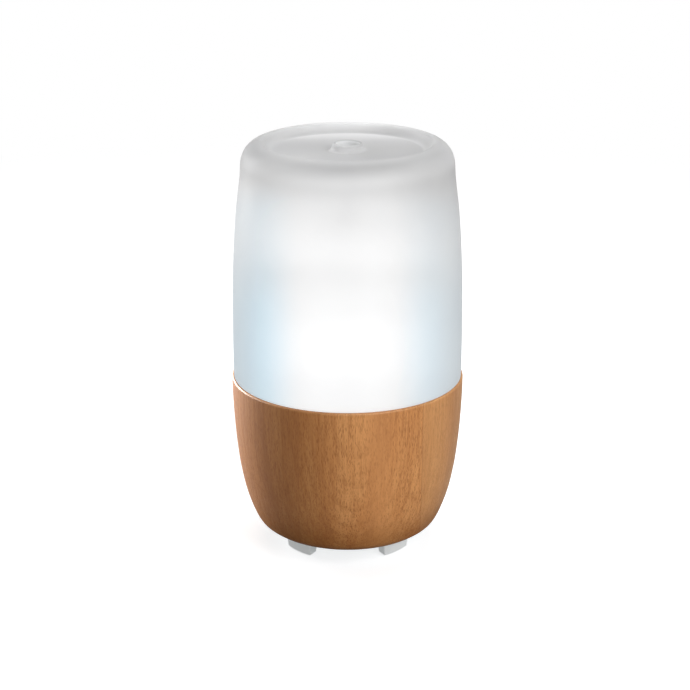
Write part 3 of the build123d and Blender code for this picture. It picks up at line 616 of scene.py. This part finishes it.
def moulded(name, colour, rough=0.45, spark=6.0, depth=0.00008):
    """Spark-textured moulded plastic: fine pits, broad mottling and rubbed spots."""
    tree = material(name)
    point = tree.where()
    pits = point.voronoi(scale=spark)
    broad = point.noise(scale=0.09, detail=3.0, rough=0.5)
    rubbed = point.noise(scale=0.9, detail=4.0, rough=0.6)
    body = broad.spread().mix(shade(colour, 0.88), shade(colour, 1.06, lift=0.004))
    spots = rubbed.ramp(off=0.55, on=0.75) * 0.25
    return tree.principled(
        color=spots.mix(body, shade(colour, 1.12, lift=0.02)),
        rough=rubbed.ramp(off=0.25, on=0.75, low=rough - 0.07, high=rough + 0.08), spec=0.5,
        normal=(pits + rubbed * 0.8).bump(strength=0.25, depth=depth),
    )


def rubber(name, colour, rough, sss):
    """Soft rubber with a thin film of dust."""
    tree = material(name)
    point = tree.where()
    mottle = point.noise(scale=0.8, detail=4.0, rough=0.6)
    fine = point.noise(scale=8.0, detail=2.0, rough=0.6)
    dust = point.noise(scale=0.35, detail=4.0, rough=0.65).ramp(off=0.55, on=0.75)
    body = mottle.spread().mix(shade(colour, 0.92), colour)
    return tree.principled(
        color=(dust * 0.18).mix(body, (0.55, 0.54, 0.52)),
        rough=mottle.spread(rough - 0.06, rough + 0.1), spec=0.4,
        sss=sss, sss_radius=(1, 1, 1), sss_scale=0.002,
        normal=(fine + mottle).bump(strength=0.2, depth=0.00006),
    )


def led_lens():
    tree = material("led_lens")
    point = tree.where()
    cells = point.voronoi(scale=2.2)
    grain = point.noise(scale=3.0, detail=3.0, rough=0.6)
    return tree.principled(
        color=cells.ramp(off=0.2, on=0.6).mix((0.95, 0.86, 0.45), (0.93, 0.93, 0.90)),
        rough=grain.spread(0.18, 0.30), emit=(0.95, 0.98, 1.0),
        power=cells.ramp(off=0.1, on=0.7, low=2.6, high=1.2),
        normal=grain.bump(strength=0.15, depth=0.00006),
    )


# ------------------------------------------------------------------ metals and boards
def metal(name, colour, rough, brushed):
    """Bare metal with smudges and brushing, stretched along the axis of the least factor."""
    tree = material(name)
    point = tree.where()
    stretched = tree.vec(*(axis * factor for axis, factor in zip(point.xyz(), brushed)))
    lines = stretched.noise(scale=9.0, detail=3.0, rough=0.6)
    smudge = point.noise(scale=0.5, detail=4.0, rough=0.6)
    body = smudge.ramp(off=0.35, on=0.7).mix(colour, shade(colour, 0.85))
    return tree.principled(
        color=(lines * 0.18).mix(body, shade(colour, 1.15)), metal=1.0,
        rough=smudge.spread(rough - 0.06, rough + 0.08) + lines * 0.06,
        normal=(lines + smudge * 0.4).bump(strength=0.15, depth=0.00004),
    )


def circuit(name, mask, copper=(0.60, 0.42, 0.16)):
    """A printed board: lacquer over faint tracks, with bright drilled pads here and there."""
    tree = material(name)
    point = tree.where()
    x, y, z = point.xyz()
    flat = tree.vec(x, y, z * 0.02)
    cell = flat.voronoi(scale=0.55, feature="DISTANCE_TO_EDGE", randomness=0.55)
    track = cell.ramp(off=0.13, on=0.07)
    brick = {"Vector": flat, "Scale": 0.42, "Mortar Size": 0.05}
    block = 1.0 - tree.value("ShaderNodeTexBrick", brick, out="Fac", offset=0.5)
    dots = flat.voronoi(scale=0.42, randomness=0.9)
    pads = dots.ramp(off=0.17, on=0.13)
    hole = dots.ramp(off=0.07, on=0.05)
    colour = (track * 0.55).mix(mask, shade(mask, 1.7, lift=0.01))
    colour = ((1.0 - block) * 0.35).mix(colour, shade(mask, 1.5))
    colour = pads.mix(colour, copper)
    colour = hole.mix(colour, (0.02, 0.02, 0.02))
    grain = point.noise(scale=1.1, detail=3.0, rough=0.6)
    return tree.principled(
        color=colour, metal=pads * 0.85, rough=grain.spread(0.26, 0.40), spec=0.5,
        normal=(track * 0.6 + (pads + grain * 0.2)).bump(strength=0.3, depth=0.00008),
    )


def layers(point, pitch):
    """A wave that repeats up the part, one turn in each pitch of mm."""
    return (point.xyz()[2] * (2 * math.pi / pitch)).math("SINE")


def windings(name, colour=(0.72, 0.32, 0.13)):
    """Enamelled copper wire wound side by side, with painted shade in the grooves between the
    turns.
    """
    tree = material(name)
    point = tree.where()
    turn = layers(point, pitch=0.34)
    uneven = point.noise(scale=1.6, detail=3.0, rough=0.5)
    body = turn.ramp(off=-0.9, on=0.6).mix(shade(colour, 0.35), colour)
    bright = uneven.ramp(off=0.5, on=0.8) * 0.4
    return tree.principled(
        color=bright.mix(body, shade(colour, 1.25)), metal=0.75,
        rough=uneven.spread(0.22, 0.36),
        normal=(turn + uneven * 0.3).bump(strength=0.6, depth=0.0001),
    )


def laminations(name):
    """Stacked steel sheets with traces of rust."""
    tree = material(name)
    point = tree.where()
    sheet = layers(point, pitch=0.5)
    rust = point.noise(scale=0.9, detail=4.0, rough=0.65)
    body = sheet.ramp(off=-0.6, on=0.6).mix((0.16, 0.16, 0.17), (0.42, 0.43, 0.45))
    return tree.principled(
        color=(rust.ramp(off=0.6, on=0.8) * 0.3).mix(body, (0.30, 0.20, 0.13)), metal=0.9,
        rough=rust.spread(0.35, 0.5), normal=sheet.bump(strength=0.5, depth=0.00008),
    )


# ------------------------------------------------------------------ wood
def beech():
    """Steamed beech, glued up from three staves and turned, under a satin lacquer.
    The grain runs up the body."""
    tree = material("beech")
    x, y, z = tree.where().xyz()

    def stretched(across, along, shift=None, **noise):
        """Noise drawn out up the body, by its scales across and along the grain."""
        moved = x * across if shift is None else x * across + shift
        return tree.vec(moved, y * across, z * along).noise(scale=1.0, **noise)

    def flecks(across, along, seed, full, fade):
        """Short upright spindles, full inside one distance and gone at the other."""
        spot = tree.vec(x * across + seed, y * across, z * along + seed * 1.7)
        colour, distance = tree.outputs("ShaderNodeTexVoronoi", ["Color", "Distance"],
                                        {"Vector": spot, "Scale": 1.0}, feature="F1")
        size = colour.xyz()[0].ramp(off=0.0, on=1.0, low=0.55, high=1.25)
        return (distance * size).ramp(off=fade, on=full)

    # upright glue joints; the pattern jumps by these amounts from stave to stave
    right = x > STAVE_RIGHT
    left = x < -STAVE_LEFT
    shift = right * 37.0 + left * -53.0
    warp = stretched(0.020, 0.008, detail=2.0, rough=0.5, out="Color")
    warp_x, warp_y, warp_z = warp.xyz()
    # growth rings about a centre far in front, so that they lie nearly flat there
    ring_x = x + (warp_x - 0.5) * 14.0
    ring_y = y + (warp_y - 0.5) * 10.0
    centre_y = -150.0 + shift * 0.6
    ring_radius = ((ring_x + (-6.0 + shift)) ** 2.0
                   + (ring_y - centre_y - z * 0.05) ** 2.0).sqrt()
    rings = (ring_radius / 2.1).math("FRACT")
    late = rings.ramp(off=0.55, on=0.90) * rings.ramp(off=1.0, on=0.93)
    ring_soft = tree.vec(ring_radius / 7.0, 0.0, z * 0.004).noise(
        scale=1.0, detail=3.0, rough=0.6)
    # broad colour bands, fibres and finer hairs along the grain
    wide = stretched(0.075, 0.0035, shift, detail=3.0, rough=0.55)
    fibre = stretched(0.9, 0.035, shift, detail=4.0, rough=0.65)
    hair = stretched(3.2, 0.10, detail=3.0, rough=0.6)
    # dark ray flecks, denser here and there
    coarse = flecks(across=2.0, along=0.30, seed=3.0, full=0.13, fade=0.31)
    small = flecks(across=2.9, along=0.46, seed=11.0, full=0.12, fade=0.30)
    dense = stretched(0.09, 0.03, detail=2.0, rough=0.5).ramp(off=0.35, on=0.60)
    fleck = (coarse * dense.between(0.70, 1.0)).larger(small * dense.between(1.0, 0.7))
    # the middle stave is browner to the left, partly its own tone and partly painted shade on the
    # side away from the key light, with a paler streak right of the middle
    left_tone_and_shade = (x + (warp_x - 0.5) * 8.0).ramp(off=3.0, on=-17.0)
    pale = (x + ((warp_z - 0.5) * 10.0 + -12.0)).falloff(width=7.5)
    glue = abs(x - STAVE_RIGHT).ramp(off=0.28, on=0.08).larger(
        abs(x + STAVE_LEFT).ramp(off=0.24, on=0.06) * 0.5)

    middle = srgb(192, 130, 74)
    colour = wide.colours([(0.28, srgb(160, 102, 54)), (0.47, middle),
                           (0.62, srgb(206, 146, 88)), (0.80, middle)])
    tones_and_shade = (                   # where and how strongly, sRGB colour
        (ring_soft.ramp(off=0.35, on=0.7) * 0.30, (170, 108, 58)),
        (late * 0.24, (146, 88, 44)),
        (fibre.ramp(off=0.44, on=0.66) * 0.44, (150, 92, 46)),
        (fibre.ramp(off=0.50, on=0.28) * 0.28, (206, 148, 90)),
        (hair.ramp(off=0.5, on=0.75) * 0.30, (138, 82, 40)),
        (fleck * 0.58, (112, 60, 25)),
        (left_tone_and_shade * 0.46, (136, 84, 34)),
        (pale * 0.45, (206, 144, 88)),
        (right * 0.42, (194, 144, 92)),
        (left * 0.16, (140, 88, 46)),
        (glue * 0.25, (112, 64, 30)),
    )
    for amount, layer_colour in tones_and_shade:
        colour = amount.mix(colour, srgb(*layer_colour))
    # painted shade darker towards the back, painted shade darker and browner underneath where it
    # is also less polished, and a painted highlight paler on the top edge
    colour = y.ramp(off=-2.0, on=24.0).mix(colour, colour.tinted((0.52, 0.47, 0.44)))
    under = z.ramp(off=LIFT + 24.0, on=LIFT + 8.0)
    colour = (under * 0.42).mix(colour, srgb(124, 76, 34))
    rim = z.ramp(off=SEAM - 1.1, on=SEAM - 0.3)
    colour = (rim * 0.10).mix(colour, srgb(220, 176, 130))
    pores = fleck * -0.7 + (fibre * 0.5 + hair * 0.25)
    return tree.principled(
        color=colour, rough=fibre.spread(0.46, 0.56) + fleck * 0.08,
        spec=under.between(0.30, 0.12), coat=under.between(0.25, 0.05), coat_rough=0.22,
        normal=pores.bump(strength=0.28, depth=0.00012),
    )


# ------------------------------------------------------------------ buttons
def drop_sign(x, z):
    """A round drop drawn up to a point."""
    base = 0.45                  # its round part sits this far below the centre
    tip, slope = 1.9, 0.46       # height of the point, half-width gained per mm below it
    body = (x * x + (z + base) ** 2.0).sqrt().ramp(off=1.12, on=1.02)
    taper = (abs(x) - (tip - z) * slope).ramp(off=0.06, on=-0.02) * (z > -0.05)
    return body.larger(taper * (z < tip))


def sun_sign(x, z):
    """A disc with eight rays."""
    out = radius(x, z)
    disc = out.ramp(off=0.98, on=0.90)
    rays = (z.math("ARCTAN2", x) * 8.0).math("COSINE").ramp(off=0.35, on=0.60)
    rays = rays * (out.ramp(off=1.30, on=1.38) * out.ramp(off=2.05, on=1.97))
    return disc.larger(rays)


def marked_button(name, centre_x, draw):
    """A glossy moulded button with a small sign printed on its outer face."""
    tree = material(name)
    point = tree.where()
    x, y, z = point.xyz()
    sign = draw(x - centre_x, z - PANEL_Z) * (y > 40.0)
    grain = point.noise(scale=1.3, detail=4.0, rough=0.6)
    broad = point.noise(scale=0.12, detail=2.0, rough=0.5)
    body = broad.spread().mix((0.60, 0.60, 0.59), (0.68, 0.68, 0.67))
    return tree.principled(
        color=sign.mix(body, (0.10, 0.11, 0.12)),
        rough=grain.spread(0.26, 0.36) + sign * 0.12, spec=0.5,
        sss=0.15, sss_radius=(1, 1, 1), sss_scale=0.002,
        normal=(grain + sign * 0.8).bump(strength=0.15, depth=0.00006),
    )


# ------------------------------------------------------------------ build and paint
wood = beech_shell()
cover = cover_shell()
lid = lid_shell()
for piece, node, body, slot, coat in (
    (wood, "wood_sleeve", "base", "beech_wood", beech()),
    (cover, "outer_cover", "cover", "frosted_cover", frosted_cover()),
    (lid, "inner_lid", "lid", "frosted_lid", frosted_lid()),
):
    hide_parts(node)
    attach(piece, body)
    paint(piece, coat)

COATS = {
    "frosted_lid": None,         # any CAD part in this slot stays bare
    "milky_tank": milky("milky_tank", colour=(0.72, 0.74, 0.76), rough=0.22, glow=0.18),
    "housing_plastic": moulded("housing_plastic", colour=(0.62, 0.62, 0.60), rough=0.5),
    "clear_foot_plastic": milky("clear_foot_plastic", colour=(0.80, 0.81, 0.81), rough=0.34,
                                glow=0.16, sss=0.5),
    "panel_plastic": moulded("panel_plastic", colour=(0.56, 0.56, 0.545), rough=0.42,
                             spark=5.0),
    "silicone": rubber("silicone", colour=(0.60, 0.61, 0.61), rough=0.5, sss=0.35),
    "silicone_seal": rubber("silicone_seal", colour=(0.66, 0.66, 0.65), rough=0.45, sss=0.4),
    "dark_plastic": moulded("dark_plastic", colour=(0.022, 0.022, 0.024), rough=0.42,
                            spark=5.0, depth=0.0001),
    "circuit_board": circuit("circuit_board", mask=(0.012, 0.085, 0.035)),
    "led_board_white": circuit("led_board_white", mask=(0.62, 0.62, 0.60),
                               copper=(0.66, 0.60, 0.45)),
    "component_plastic": moulded("component_plastic", colour=(0.030, 0.030, 0.033),
                                 rough=0.38),
    "connector_plastic": moulded("connector_plastic", colour=(0.66, 0.63, 0.54), rough=0.36),
    "zinc_screw": metal("zinc_screw", colour=(0.60, 0.61, 0.62), rough=0.30,
                        brushed=(0.2, 0.2, 3.0)),
    "piezo_steel": metal("piezo_steel", colour=(0.62, 0.62, 0.63), rough=0.26,
                         brushed=(1.0, 0.05, 1.0)),
    "aluminium": metal("aluminium", colour=(0.76, 0.77, 0.78), rough=0.32,
                       brushed=(0.05, 1.0, 1.0)),
    "brass_pin": metal("brass_pin", colour=(0.78, 0.60, 0.28), rough=0.20,
                       brushed=(1.0, 0.05, 1.0)),
    "bronze_bush": metal("bronze_bush", colour=(0.52, 0.34, 0.16), rough=0.36,
                         brushed=(1.0, 1.0, 0.1)),
    "core_steel": laminations("core_steel"),
    "copper_wire": windings("copper_wire"),
    "shaft_steel": metal("shaft_steel", colour=(0.66, 0.67, 0.68), rough=0.18,
                         brushed=(0.1, 0.1, 4.0)),
    "magnet": moulded("magnet", colour=(0.055, 0.052, 0.050), rough=0.55, spark=3.0),
    "led": led_lens(),
    "wire_sleeve": rubber("wire_sleeve", colour=(0.035, 0.034, 0.036), rough=0.42, sss=0.0),
    "wire_sleeve_pale": rubber("wire_sleeve_pale", colour=(0.62, 0.60, 0.55), rough=0.42,
                               sss=0.1),
}
slots = {part["node"]: part["material_slot"] for part in frame["record"]["subparts"]}
for name, part in NODES.items():
    if name in ("wood_sleeve", "outer_cover", "inner_lid"):
        continue
    if name == "mist_button":
        paint(part, marked_button("mist_button_cap", BUTTON_X, drop_sign))
    elif name == "light_button":
        paint(part, marked_button("light_button_cap", -BUTTON_X, sun_sign))
    else:
        paint(part, COATS[slots[name]])


# ------------------------------------------------------------------ floor and world
def floor():
    """A pale floor that fades to pure white away from the product."""
    half = 40.0                  # metres
    mesh = bpy.data.meshes.new("floor")
    corners = [(-half, -half, 0), (half, -half, 0), (half, half, 0), (-half, half, 0)]
    mesh.from_pydata(corners, [], [(0, 1, 2, 3)])
    piece = linked("floor", mesh)
    tree = material("floor")
    point = tree.where()
    reach = point.length()
    seen = tree.value("ShaderNodeLightPath", out="Is Camera Ray")
    far = seen.between(reach.ramp(off=500.0, on=2600.0), reach.ramp(off=260.0, on=760.0))
    grain = point.noise(scale=0.02, detail=3.0, rough=0.5)
    colour = grain.spread().mix((0.66, 0.67, 0.68), (0.68, 0.69, 0.70))
    diffuse = tree.value("ShaderNodeBsdfDiffuse",
                         {"Color": seen.mix((0.40, 0.395, 0.385), colour)})
    white = (1.0, 1.0, 1.0)
    glow = tree.value("ShaderNodeEmission", {"Color": white, "Strength": seen * 0.62})
    close = tree.value("ShaderNodeAddShader", {0: diffuse, 1: glow})
    flat = tree.value("ShaderNodeEmission", {"Color": white, "Strength": 1.0})
    tree.finish(tree.value("ShaderNodeMixShader", {0: far, 1: close, 2: flat}))
    mesh.materials.append(tree.owner)


def studio():
    """A world that looks white but lights the scene only faintly."""
    tree = Tree(bpy.data.worlds.new("studio"), "ShaderNodeOutputWorld")
    bpy.context.scene.world = tree.owner
    white = (1.0, 1.0, 1.0)
    shown = tree.value("ShaderNodeBackground", {"Color": white, "Strength": 1.0})
    fill = tree.value("ShaderNodeBackground", {"Color": white, "Strength": 0.35})
    seen = tree.value("ShaderNodeLightPath", out="Is Camera Ray")
    tree.finish(tree.value("ShaderNodeMixShader", {0: seen, 1: fill, 2: shown}))


floor()
studio()


# ------------------------------------------------------------------ lights, metres and watts
def softbox(name, at, size, watts, look=(0, 0, 0.085), only=None):
    """A rectangular panel turned to a point; only is a collection that it alone lights."""
    light = bpy.data.lights.new(name, "AREA")
    light.shape = "RECTANGLE"
    light.size, light.size_y = size
    light.energy = watts
    light.use_shadow = True
    panel = linked(name, light)
    panel.location = at
    panel.rotation_mode = "QUATERNION"
    panel.rotation_quaternion = (Vector(look) - Vector(at)).to_track_quat("-Z", "Y")
    panel.visible_camera = False
    if only:
        panel.light_linking.receiver_collection = only
    return panel


lacquered = bpy.data.collections.new("lacquered")
lacquered.objects.link(wood)
softbox("key_right", at=(0.75, -0.75, 0.65), size=(0.7, 0.9), watts=8.4)
softbox("rim_left", at=(-0.80, 0.55, 0.15), size=(0.35, 0.8), watts=6.5)
# two panels behind on the left and one in front light only the wood
sheen = softbox("sheen_left", at=(-0.66, 0.55, 0.12), size=(0.8, 0.9), watts=20.0,
                only=lacquered)
sheen.visible_diffuse = False
sheen.visible_transmission = False
softbox("graze_left", at=(-0.65, 0.565, 0.12), size=(0.5, 0.6), watts=20.0, only=lacquered)
softbox("key_wood", at=(0.30, -0.85, 0.62), look=(0, 0, 0.05), size=(0.8, 0.5), watts=3.0,
        only=lacquered)
softbox("top", at=(0.0, 0.25, 1.1), size=(0.9, 0.6), watts=5.0)

# ------------------------------------------------------------------ camera
lens = bpy.data.cameras.new("camera")
lens.lens = 89.457
lens.sensor_width = 36.0
lens.sensor_fit = "HORIZONTAL"
lens.clip_start = 0.01
lens.clip_end = 200.0
camera = linked("camera", lens)
camera.location = (-0.00104, -0.6720, 0.31755 + LIFT * MM)
camera.rotation_euler = (math.radians(90 - 19.269), 0, 0)     # looks down by 19.269 degrees
scene = bpy.context.scene
scene.camera = camera
scene.view_settings.view_transform = "Standard"
scene.view_settings.look = "None"
